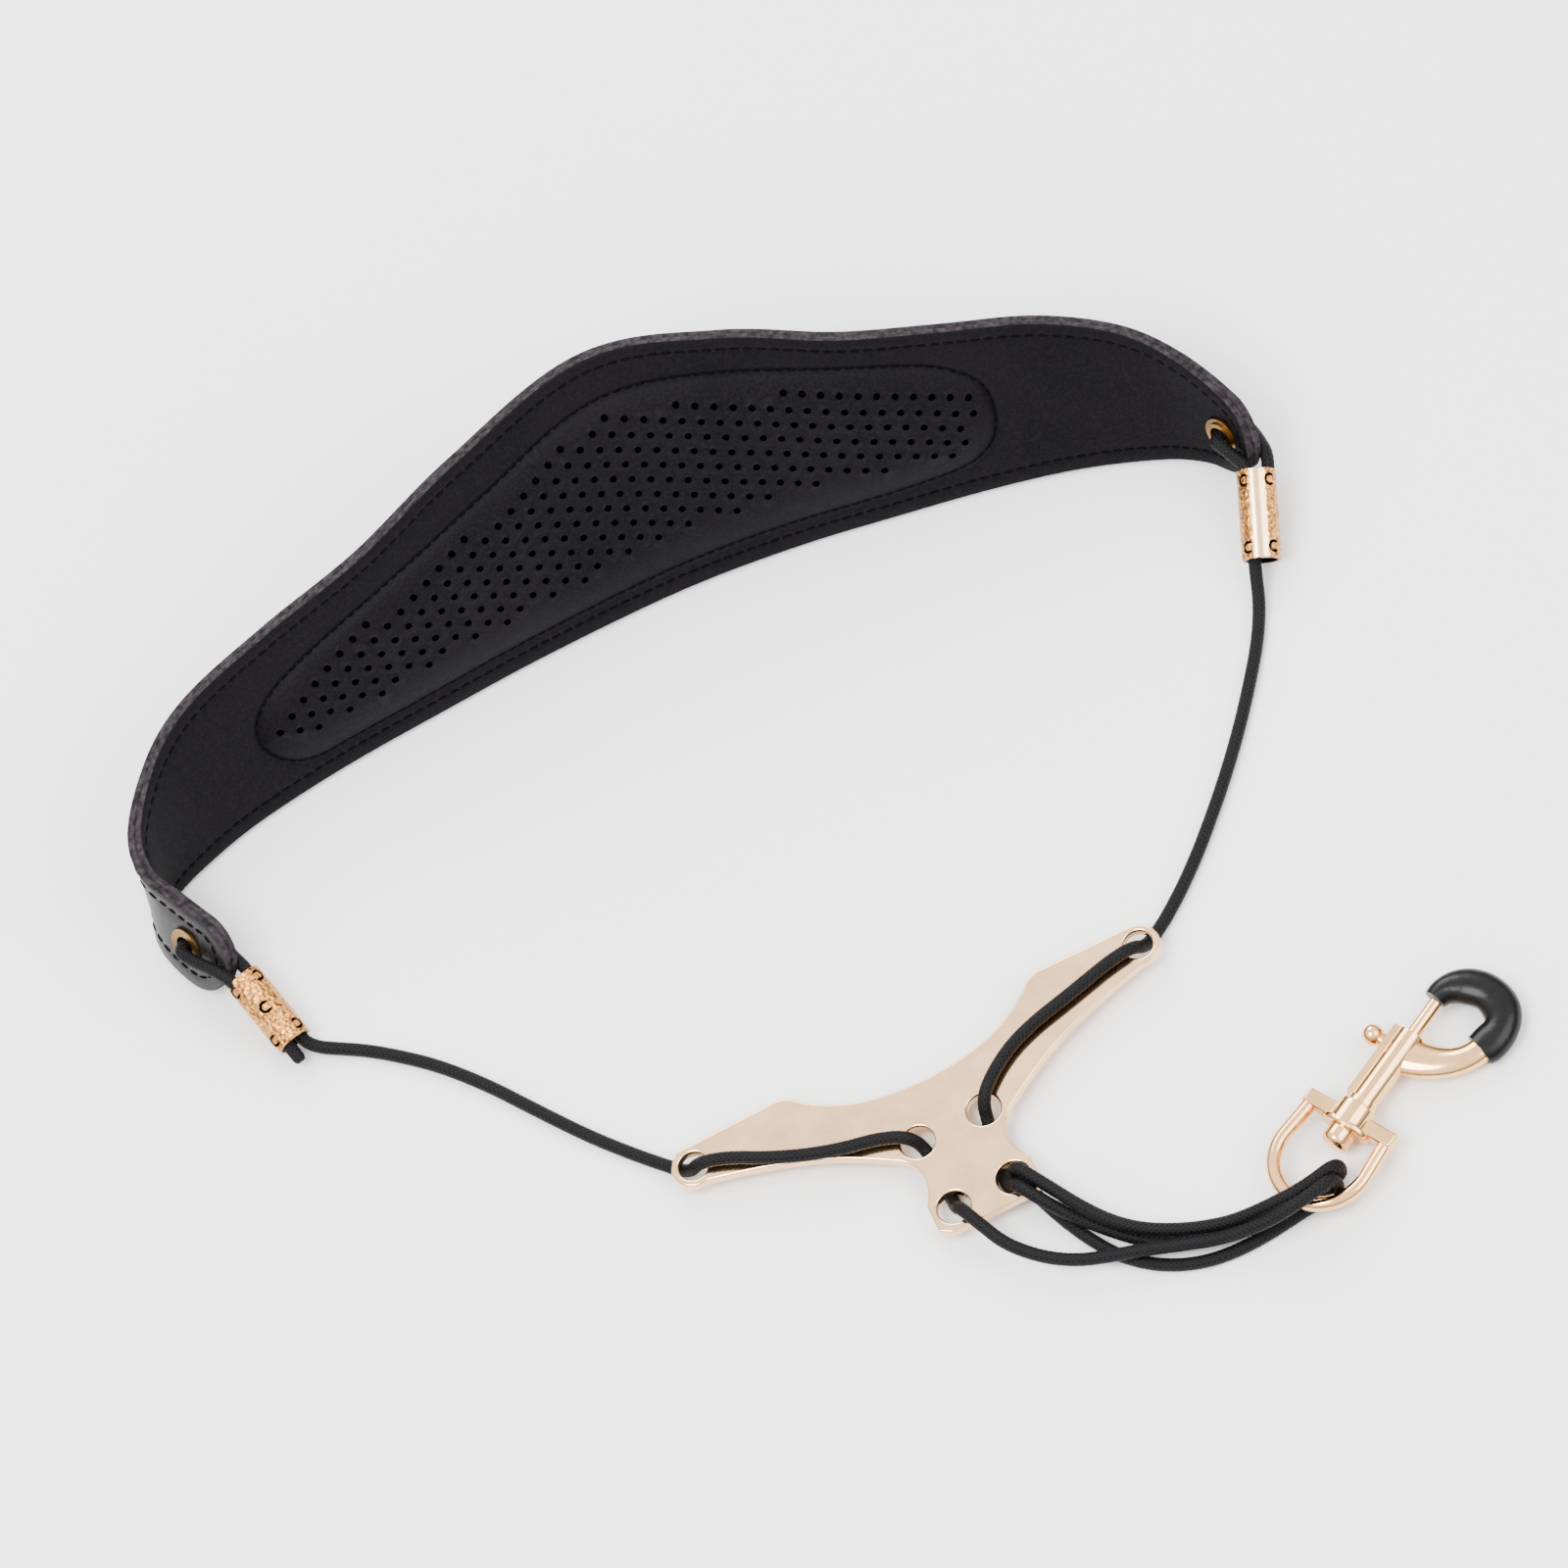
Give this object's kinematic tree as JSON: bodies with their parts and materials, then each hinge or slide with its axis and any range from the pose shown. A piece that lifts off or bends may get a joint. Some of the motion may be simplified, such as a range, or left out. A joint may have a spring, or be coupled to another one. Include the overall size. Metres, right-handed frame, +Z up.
{
  "type": "saxophone neck strap",
  "caption": "Instrument neck strap lying flat: padded leather neck band, round cord through a metal yoke plate, ring and swivel snap hook with a coated nose",
  "frame": {"origin": "middle of the footprint of everything but the cord, on the table that the strap lies on", "axes": "X across the strap from tab to tab, +X towards the end with the snap hook; Y from the snap hook to the back of the neck band; Z up"},
  "size_m": [0.2748, 0.2546, 0.0588],
  "materials": {
    "outer_leather": "smooth black synthetic leather with a light sheen, grey cut edge",
    "inner_leather": "fine-grained matt black leather, stitched and perforated over the pad",
    "foam": "soft open foam, hidden under the perforated leather",
    "antique_brass": "dull antique brass",
    "gold_bead": "hammered gold plating with smooth panels",
    "rose_gold_plate": "mirror-bright pale rose-gold plating",
    "rose_gold_casting": "polished pale rose-gold plated casting",
    "black_coating": "satin black dipped soft coating",
    "spring_steel": "plain spring wire",
    "cord": "tightly braided round black cord"
  },
  "bodies": {
    "strap": {"outer_leather": "outer_leather", "inner_leather": "inner_leather", "pad_foam": "foam", "tab_eyelets": "antique_brass", "eyelet_washers": "antique_brass", "left_bead": "gold_bead", "right_bead": "gold_bead", "yoke_plate": "rose_gold_plate", "cord_left_loop": "cord", "cord_left_span": "cord", "cord_ring_loop_near": "cord", "cord_ring_loop_far": "cord", "cord_right_span": "cord", "cord_right_loop": "cord"},
    "ring": {"d_ring": "rose_gold_casting"},
    "hook": {"hook_body": "rose_gold_casting", "hook_cover": "black_coating", "gate_spring": "spring_steel"},
    "gate": {"gate_bolt": "rose_gold_casting", "thumb_knob": "rose_gold_casting"}
  },
  "joints": [
    {"name": "ring_tilt", "type": "hinge", "parent": "strap", "child": "ring", "pos_m": [0.06611, -0.12053, 0.0048], "axis": [0.5105, -0.8599, 0], "range_deg": [0, 90]},
    {"name": "hook_swivel", "type": "hinge", "parent": "ring", "child": "hook", "pos_m": [0.0852, -0.1092, 0.0048], "axis": [0.8599, 0.5105, 0], "continuous": true},
    {"name": "gate_slide", "type": "slide", "parent": "hook", "child": "gate", "axis": [0.8599, 0.5105, 0], "range_m": [-0.0094, 0], "stiffness_N_per_m": 250, "springref_m": 0.006, "deforming": ["gate_spring"]}
  ]
}
